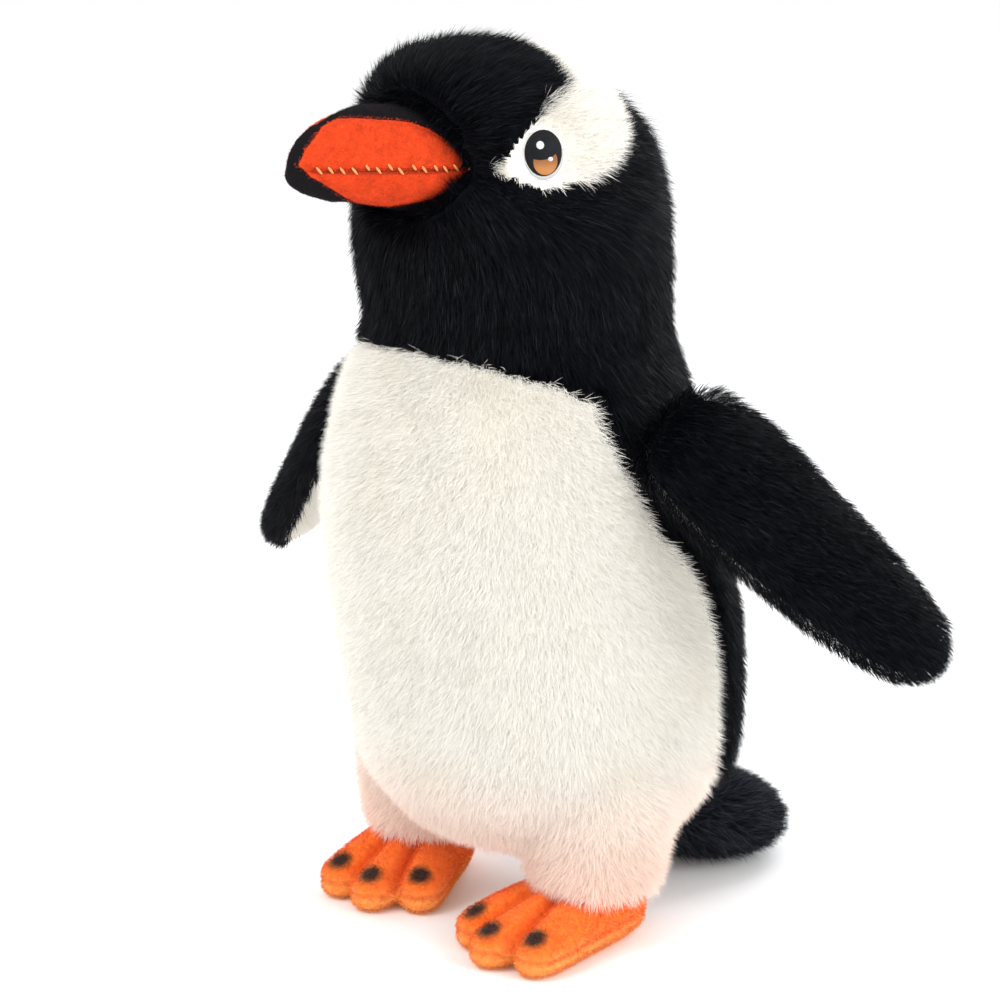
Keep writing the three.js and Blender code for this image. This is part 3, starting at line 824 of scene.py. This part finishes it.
class PENGUIN_OT_beak(bpy.types.Operator):
    """Sew the felt beak with its dark gusset, mouth seam and stitches"""

    bl_idname = "penguin.beak"
    bl_label = "Beak"

    def execute(self, context):
        upper = ["beak_upper_left", "beak_upper_right"]
        lower = ["beak_lower_left", "beak_lower_right"]
        nodes = [*upper, *lower, "beak_gusset", "beak_stuffing"]
        beak = shell("beak_felt", nodes, BEAK_VOXEL)
        finish_with(beak, "SMOOTH", factor=0.5, iterations=10)
        pulled_in(beak, 0.7 * MM)
        plumped(beak, 0.5 * MM)
        finish_with(beak, "SUBSURF", levels=1, render_levels=1)
        points = points_of(beak.data)
        places = [Vector(p) for p in points]
        from_gusset = gaps(places, upper + lower, ["beak_gusset"])
        from_mouth = gaps(places, upper, lower)
        orange = smooth_step(from_gusset, -0.2 * MM, 0.2 * MM)
        dip = 0.55 * MM * np.exp(-((from_gusset / (0.8 * MM)) ** 2))
        dip += 0.5 * MM * np.exp(-((from_mouth / (0.7 * MM)) ** 2)) * orange
        dip -= 0.35 * MM * smooth_step(-from_gusset, 0.6 * MM, 2.5 * MM)
        set_points(beak.data, points - normals_of(beak.data) * dip[:, None])
        seam = beak.data.attributes.new("seam", "FLOAT_VECTOR", "POINT")
        seam.data.foreach_set(
            "vector", np.stack([from_gusset, from_mouth, orange], 1).astype(np.float32).ravel()
        )
        beak.data.materials.append(beak_finish())
        shade_smooth(beak)
        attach(beak, "head")
        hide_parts(*nodes)
        self.fuzz(beak)
        for side in SIDES:
            self.stitches(beak, side)
        return {"FINISHED"}

    def fuzz(self, beak):
        """Stray fibres that stand off the felt."""
        rng = np.random.default_rng(41)
        cloth = Cloth(beak, ["beak_upper_left", "beak_upper_right", "beak_lower_left",
                             "beak_lower_right", "beak_gusset"])
        hairy = look(width=0.09 * MM, lift=0.6, spread=3.0, uneven=0.3, clump=0.1, sunk=0.1 * MM,
                     cell=1.2 * MM)
        for name, panels, color in (
            ("fuzz_beak_sides", cloth.names[:4], solid_color(settings().orange_felt, 1.1)),
            ("fuzz_beak_gusset", cloth.names[4:], solid_color(settings().black_felt, 2.2)),
        ):
            roots, normals = cloth.sample(panels, SHORT_DENSITY, rng)
            flow = rng.normal(size=roots.shape)
            length = np.full(len(roots), 0.85 * MM)
            fibres = pile(name, roots, normals, flow, length, hairy, rng)
            shader = Shader(name, Roughness=0.9, Specular_IOR_Level=0.2)
            _, fibre, _ = fibre_parts(shader)
            shader.feed(
                Base_Color=shader.mixed(fibre, solid_color(color, 0.55), solid_color(color, 1.3))
            )
            fibres.data.materials.append(shader.material)
            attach(fibres, "head")
            "orange_felt" if "sides" in name else "black_felt"

    def stitches(self, beak, side):
        """Small crossing stitches along the mouth seam."""
        line = points_of(NODES["mouth_stitching_" + side].data)
        root, tip = beak_line()
        axis = unit(tip - root)
        along = (line - root) @ axis
        surface = tree_over([beak.data])
        out = 1.0 if side == "left" else -1.0
        spots = []
        trend = np.polyfit(along, line @ np.array([0, 0, 1.0]), 2)
        for t in np.linspace(along.min() + 1.0 * MM, along.max() - 1.5 * MM, STITCHES):
            near = line[np.argsort(np.abs(along - t))[:12]]
            guess = near.mean(0)
            guess[2] = np.polyval(trend, t)
            guess += axis * (t - (guess - root) @ axis)
            spot, normal, _, _ = surface.find_nearest(Vector(guess))
            spots.append((np.array(spot), np.array(normal)))
        form = bmesh.new()
        for spot, normal in spots:
            up = unit(np.cross(normal, axis) * out)
            run = unit(axis * 0.75 - up * 0.66)
            frame_axes = Matrix((run, np.cross(normal, run), normal)).transposed().to_4x4()
            place = Matrix.Translation(Vector(spot + normal * 0.3 * MM)) @ frame_axes
            size = Matrix.Diagonal((1.45 * MM, 0.34 * MM, 0.5 * MM, 1.0))
            bmesh.ops.create_icosphere(form, subdivisions=3, radius=1.0, matrix=place @ size)
        mesh = bpy.data.meshes.new("mouth_stitches_" + side)
        form.to_mesh(mesh)
        form.free()
        piece = linked(mesh)
        shader = Shader("mouth_thread_" + side, Roughness=0.55, Specular_IOR_Level=0.4)
        grain = shader.noise(2600.0, 2.0)
        shader.feed(
            Base_Color=shader.mixed(grain, (0.92, 0.25, 0.07, 1), (1.0, 0.45, 0.17, 1)),
            Normal=shader.bump(grain, 0.5, 0.1 * MM),
        )
        mesh.materials.append(shader.material)
        shade_smooth(piece)
        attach(piece, "head")
        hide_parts("mouth_stitching_" + side)


def beak_finish():
    """Orange felt on the sides and dark felt on the gusset, with painted shade darkening the mouth
    seam.
    """
    s = settings()
    shader = Shader("beak_felt", Roughness=0.95, Specular_IOR_Level=0.1)
    gusset, mouth, _ = shader.parts(shader.attribute("seam"))
    cloudy = shader.noise(420.0, 4.0, 0.65)
    grain = shader.noise(1700.0, 3.0, 0.7)
    wobble = (grain - 0.5) * (0.5 * MM)
    orange = shader.mixed(
        cloudy, solid_color(s.orange_felt, 0.42), solid_color(s.orange_felt, 1.25)
    )
    flecks = shader.between(grain, 0.55, 0.75) * 0.4
    orange = shader.mixed(flecks, orange, (0.9, 0.2, 0.06, 1))
    dark = shader.mixed(cloudy, solid_color(s.black_felt, 0.8), solid_color(s.black_felt, 1.8))
    tone = shader.mixed(shader.between(gusset + wobble, -0.12 * MM, 0.12 * MM), dark, orange)
    # Painted shade: a dark red line down in the mouth seam.
    mouth_seam_shade = 1 - shader.between((mouth * mouth) ** 0.5, 0.1 * MM, 0.55 * MM)
    mouth_seam_shade = mouth_seam_shade * shader.between(gusset, 0.3 * MM, 1.2 * MM)
    tone = shader.mixed(mouth_seam_shade * 0.85, tone, (0.09, 0.01, 0.006, 1))
    shader.feed(
        Base_Color=tone, Normal=shader.bump(grain * 0.6 + cloudy * 0.4, 0.8, 0.3 * MM)
    )
    return shader.material


class PENGUIN_OT_eyes(bpy.types.Operator):
    """Embroider the eyes"""

    bl_idname = "penguin.eyes"
    bl_label = "Eyes"

    def execute(self, context):
        for side, sign in (("left", 1), ("right", -1)):
            place = self.eye_place(side)
            for part, back, up, wide, tall, proud, color, node, slot in EYE_LAYERS:
                bpy.ops.mesh.primitive_uv_sphere_add(segments=40, ring_count=20, radius=1.0)
                piece = bpy.context.object
                piece.name = piece.data.name = f"eye_{part}_thread_{side}"
                move = Matrix.Translation((sign * back * MM, up * MM, -0.4 * MM))
                size = Matrix.Diagonal((wide * MM, tall * MM, (proud + 0.4) * MM, 1.0))
                piece.data.transform(place @ move @ size)
                piece.data.materials.append(self.thread(f"eye_{part}_{side}", color, place))
                shade_smooth(piece)
                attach(piece, "head")
                if node:
                    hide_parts(f"{node}_{side}")
        return {"FINISHED"}

    def eye_place(self, side):
        """X towards the beak's opposite side, Y up and Z out of the head, at the eye's middle."""
        points = np.vstack([
            points_of(NODES[f"eye_{part}_{side}"].data) for part in ("pupil", "iris")
        ])
        middle = points.mean(0)
        out = np.linalg.eigh(np.cov((points - middle).T))[1][:, 0]
        head = centre_of("head_stuffing")
        if out @ (middle - head) < 0:
            out = -out
        across = unit(np.cross([0, 0, 1.0], out))
        up = np.cross(out, across)
        surface = middle + out * ((points - middle) @ out).max()
        place = Matrix((across, up, out)).transposed().to_4x4()
        back = across if side == "left" else -across
        middle = surface - out * 0.5 * MM + (back + up) * 0.9 * MM
        return Matrix.Translation(Vector(middle)) @ place

    def thread(self, name, color, place):
        """Satin stitches side by side, with painted shade between the rows."""
        shader = Shader(name, Roughness=0.5, Specular_IOR_Level=0.18)
        across = Vector(place.col[0][:3])
        up = Vector(place.col[1][:3])
        run = (across * 0.85 + up * 0.5).normalized()
        line = shader.dot(shader.place(), run)
        turns = 2 * math.pi / THREAD_PITCH
        wave = shader.node("ShaderNodeMath", {"operation": "SINE"}, {0: line * turns})
        rib = wave * 0.5 + 0.5
        rib = rib * 0.7 + shader.noise(1800.0, 2.0) * 0.3
        # Painted shade: the thread is darker in the valleys between the rows of satin stitch; the
        # ribs and the noise are the stitches' own pattern.
        if color is None:
            low = shader.dot(shader.place(), up)
            base = place.translation.dot(up)
            warm = shader.between(low - base, -4.5 * MM, -1.0 * MM)
            light = shader.mixed(warm, (0.72, 0.3, 0.1, 1), solid_color(settings().iris, 0.8))
            light = shader.scaled(light, 0.45 + 0.55 * rib)
        else:
            light = shader.mixed(rib, solid_color(color, 0.45), color)
        shader.feed(Base_Color=light, Normal=shader.bump(rib, 0.5, 0.12 * MM))
        return shader.material


class PENGUIN_OT_feet(bpy.types.Operator):
    """Stuff the feet, mark their claws and grow their short pile"""

    bl_idname = "penguin.feet"
    bl_label = "Feet"

    def execute(self, context):
        rng = np.random.default_rng(53)
        for side in SIDES:
            top, sole, filling = (f"foot_{part}_{side}" for part in ("top", "sole", "stuffing"))
            foot = shell(f"foot_skin_{side}", [top, sole, filling], FOOT_VOXEL)
            finish_with(foot, "SMOOTH", factor=0.5, iterations=3)
            plumped(foot, 0.6 * MM)
            finish_with(foot, "SMOOTH", factor=0.5, iterations=2)
            finish_with(foot, "SUBSURF", levels=1, render_levels=1)
            points = points_of(foot.data)
            seam = gaps([Vector(p) for p in points], [top], [sole])
            dip = 0.7 * MM * np.exp(-((seam / (0.9 * MM)) ** 2)) + 0.3 * MM
            points = points - normals_of(foot.data) * dip[:, None]
            points[:, 2] = np.maximum(points[:, 2], 0.1 * MM)
            heel, claws = self.claws(side)
            set_points(foot.data, self.toes_parted(points, heel, claws))
            foot.data.materials.append(foot_finish(f"foot_{side}", claws, False))
            shade_smooth(foot)
            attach(foot, "body")
            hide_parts(top, sole, filling)
            cloth = Cloth(foot, [top, sole])
            thinned = SHORT_DENSITY / 1.0
            roots, normals = cloth.sample([top, sole], thinned, rng)
            keep = roots[:, 2] > 0.8 * MM
            roots, normals = roots[keep], normals[keep]
            flow = np.tile([0.0, -1.0, -0.3], (len(roots), 1)) + rng.normal(0, 0.4, roots.shape)
            short = look(width=0.14 * MM, lift=1.05, spread=0.6, uneven=0.25, fall=0.35,
                         clump=0.25, cell=1.0 * MM, sunk=0.1 * MM, wave=6 * MM)
            fibres = pile(
                f"pile_foot_{side}", roots, normals, flow, np.full(len(roots), 1.5 * MM), short, rng
            )
            fibres.data.materials.append(foot_finish(f"pile_foot_{side}", claws, True))
            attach(fibres, "body")
        return {"FINISHED"}

    def claws(self, side):
        """The heel's middle and the middles of the dark marks on the three toes."""
        points = points_of(NODES["foot_top_" + side].data)
        heel = points[points[:, 1] > np.quantile(points[:, 1], 0.8)].mean(0)
        off = points - heel
        reach = np.hypot(off[:, 0], off[:, 1])
        turn = np.arctan2(off[:, 0], -off[:, 1])
        front = reach > 0.75 * reach.max()
        edges = np.linspace(turn[front].min(), turn[front].max(), 4)
        marks = []
        for low, high in zip(edges[:-1], edges[1:]):
            toe = np.flatnonzero(front & (turn >= low) & (turn <= high))
            tip = points[toe[reach[toe].argmax()]]
            back = unit((heel - tip) * np.array([1, 1, 0])) * CLAW_BACK
            marks.append((tip[0] + back[0], tip[1] + back[1], CLAW_HEIGHT))
        return heel, marks

    def toes_parted(self, points, heel, claws):
        """Deepens the grooves between the toes and slopes the toes down to their tips."""
        flat = points[:, :2] - heel[:2]
        high = smooth_step(points[:, 2], 3 * MM, 10 * MM)
        for first, second in zip(claws[:-1], claws[1:]):
            line = unit((np.array(first) + np.array(second))[:2] / 2 - heel[:2])
            aside = flat[:, 0] * line[1] - flat[:, 1] * line[0]
            ahead = smooth_step(flat @ line, 8 * MM, 20 * MM)
            points[:, 2] -= TOE_GROOVE * np.exp(-((aside / (1.7 * MM)) ** 2)) * ahead * high
        reach = np.hypot(flat[:, 0], flat[:, 1])
        front = smooth_step(reach, 24 * MM, 46 * MM)
        points[:, 2] *= 1.12 - 0.24 * front
        return points


def foot_finish(name, claws, hairy):
    """Orange short pile, lighter below the seam, with dark soft-edged claw marks, painted shade
    along the seam and deep in the pile, and a painted glow.
    """
    s = settings()
    # The emission is a painted glow that brightens the orange pile and skin.
    shader = Shader(
        name, Roughness=0.85, Specular_IOR_Level=0.15, Sheen_Weight=0.2, Emission_Strength=s.painted_glow
    )
    place = shader.parts(shader.place())[2]
    cloudy = shader.noise(160.0, 4.0, 0.6)
    ragged = shader.noise(900.0, 2.0)
    above = shader.between(place + (cloudy - 0.5) * (3.0 * MM), 3.5 * MM, 9.0 * MM)
    tone = shader.mixed(above, solid_color(s.sole_plush), solid_color(s.orange_plush))
    tone = shader.mixed(cloudy * 0.25, tone, solid_color(s.sole_plush))
    # Painted shade: a darker red line along the seam between top and sole.
    off = place - FOOT_SEAM
    seam = 1 - shader.between((off * off) ** 0.5, 0.2 * MM, 1.1 * MM)
    tone = shader.mixed(seam * 0.3, tone, (0.8, 0.08, 0.008, 1))
    for claw in claws:
        off = shader.distance(claw) + (ragged - 0.5) * (1.6 * MM)
        mark = 1 - shader.between(off, 1.6 * MM, 5.0 * MM)
        tone = shader.mixed(mark * 0.97, tone, solid_color(s.claw))
    if hairy:
        along, fibre, _ = fibre_parts(shader)
        # Painted shade: the fibres are darker towards their roots; they also differ in tone at
        # random from fibre to fibre.
        tone = shader.scaled(tone, (0.86 + 0.14 * fibre) * (0.85 + 0.15 * along))
        shader.feed(Base_Color=tone, Emission_Color=tone)
    else:
        shader.feed(
            Base_Color=tone, Emission_Color=tone, Normal=shader.bump(ragged, 0.6, 0.3 * MM)
        )
    return shader.material


class PENGUIN_OT_bean_bag(bpy.types.Operator):
    """Finish the bean bag inside the body"""

    bl_idname = "penguin.bean_bag"
    bl_label = "Bean bag"

    def execute(self, context):
        lining = Shader("bag_lining", Roughness=0.9, Specular_IOR_Level=0.1)
        weave = lining.noise(1200.0, 2.0)
        lining.feed(
            Base_Color=lining.mixed(weave, (0.6, 0.6, 0.57, 1), (0.75, 0.75, 0.72, 1)),
            Normal=lining.bump(weave, 0.5, 0.2 * MM),
        )
        beads = Shader("bag_pellets", Roughness=0.4)
        cell = beads.node(
            "ShaderNodeTexVoronoi", inputs={"Vector": beads.place(), "Scale": 400.0},
            output="Distance",
        )
        # Painted shade: each pellet is lighter in its middle and darker towards the gaps between
        # pellets.
        beads.feed(
            Base_Color=beads.mixed(cell, (0.8, 0.8, 0.86, 1), (0.5, 0.5, 0.56, 1)),
            Normal=beads.bump(1 - cell, 0.8, 1.0 * MM),
        )
        for node in BAG_NODES:
            data = NODES[node].data
            material = beads.material if node == "pellets" else lining.material
            if not data.materials:
                data.materials.append(material)
            for slot in NODES[node].material_slots:
                slot.material = material
        return {"FINISHED"}


class PENGUIN_OT_stage(bpy.types.Operator):
    """Set the pale floor, the soft light and the camera"""

    bl_idname = "penguin.stage"
    bl_label = "Stage"

    def execute(self, context):
        scene = context.scene
        bpy.ops.mesh.primitive_plane_add(size=12.0, location=(0, 0, 0))
        floor = context.object
        floor.name = "floor"
        shader = Shader("floor_paint", Roughness=0.9, Specular_IOR_Level=0.05)
        grain = shader.noise(40.0, 3.0)
        shader.feed(Base_Color=shader.mixed(grain, (0.93, 0.93, 0.93, 1), (0.96, 0.96, 0.96, 1)))
        floor.data.materials.append(shader.material)
        world = bpy.data.worlds.new("studio")
        world.use_nodes = True
        sky = world.node_tree.nodes["Background"]
        sky.inputs["Color"].default_value = (1.0, 1.0, 1.0, 1.0)
        sky.inputs["Strength"].default_value = SKY_STRENGTH
        scene.world = world
        scene.view_settings.view_transform = "Standard"
        back = Vector((
            math.sin(CAMERA_AZIMUTH) * math.cos(CAMERA_ELEVATION),
            -math.cos(CAMERA_AZIMUTH) * math.cos(CAMERA_ELEVATION),
            math.sin(CAMERA_ELEVATION),
        ))
        right = Vector((math.cos(CAMERA_AZIMUTH), math.sin(CAMERA_AZIMUTH), 0.0))
        up = back.cross(right)
        aim = VIEW_CENTRE - right * AIM_LEFT - up * AIM_DOWN
        lens = bpy.data.cameras.new("camera")
        lens.lens, lens.sensor_width = CAMERA_LENS, 36.0
        camera = bpy.data.objects.new("camera", lens)
        camera.location = VIEW_CENTRE + back * CAMERA_DISTANCE
        camera.rotation_euler = (camera.location - aim).to_track_quat("Z", "Y").to_euler()
        scene.collection.objects.link(camera)
        scene.camera = camera
        for name, offset, size, power, tint in (
            ("key", back * 0.6 - right * 0.7 + Vector((0, 0, 0.9)), 0.8, 7.5, (1.0, 0.985, 0.96)),
            ("fill", back * 0.7 + right * 0.9 + Vector((0, 0, 0.35)), 0.9, 7.0, (0.98, 0.99, 1.0)),
            ("rim", -back * 0.8 + right * 0.5 + Vector((0, 0, 0.8)), 0.6, 6.0, (0.95, 0.97, 1.0)),
        ):
            data = bpy.data.lights.new(name, "AREA")
            data.shape, data.size, data.energy, data.color = "DISK", size, power, tint
            lamp = bpy.data.objects.new(name, data)
            lamp.location = VIEW_CENTRE + offset
            lamp.rotation_euler = offset.to_track_quat("Z", "Y").to_euler()
            scene.collection.objects.link(lamp)
        return {"FINISHED"}


class PENGUIN_PT_panel(bpy.types.Panel):
    """Lists the steps that make the toy"""

    bl_idname = "PENGUIN_PT_panel"
    bl_label = "Plush penguin"
    bl_space_type = "VIEW_3D"
    bl_region_type = "UI"
    bl_category = "Penguin"

    def draw(self, context):
        for name in PlushPenguinSettings.__annotations__:
            self.layout.prop(settings(), name)
        for step in STEPS:
            self.layout.operator(step.bl_idname)


STEPS = (
    PENGUIN_OT_trunk, PENGUIN_OT_wings, PENGUIN_OT_tail, PENGUIN_OT_beak, PENGUIN_OT_eyes,
    PENGUIN_OT_feet, PENGUIN_OT_bean_bag, PENGUIN_OT_stage,
)
CLASSES = (PlushPenguinSettings, *STEPS, PENGUIN_PT_panel)


def register():
    for part in CLASSES:
        bpy.utils.register_class(part)
    bpy.types.Scene.plush_penguin = bpy.props.PointerProperty(type=PlushPenguinSettings)


def unregister():
    del bpy.types.Scene.plush_penguin
    for part in reversed(CLASSES):
        bpy.utils.unregister_class(part)


def main():
    register()
    for step in STEPS:
        group, name = step.bl_idname.split(".")
        getattr(getattr(bpy.ops, group), name)()


if __name__ == "__main__":
    main()
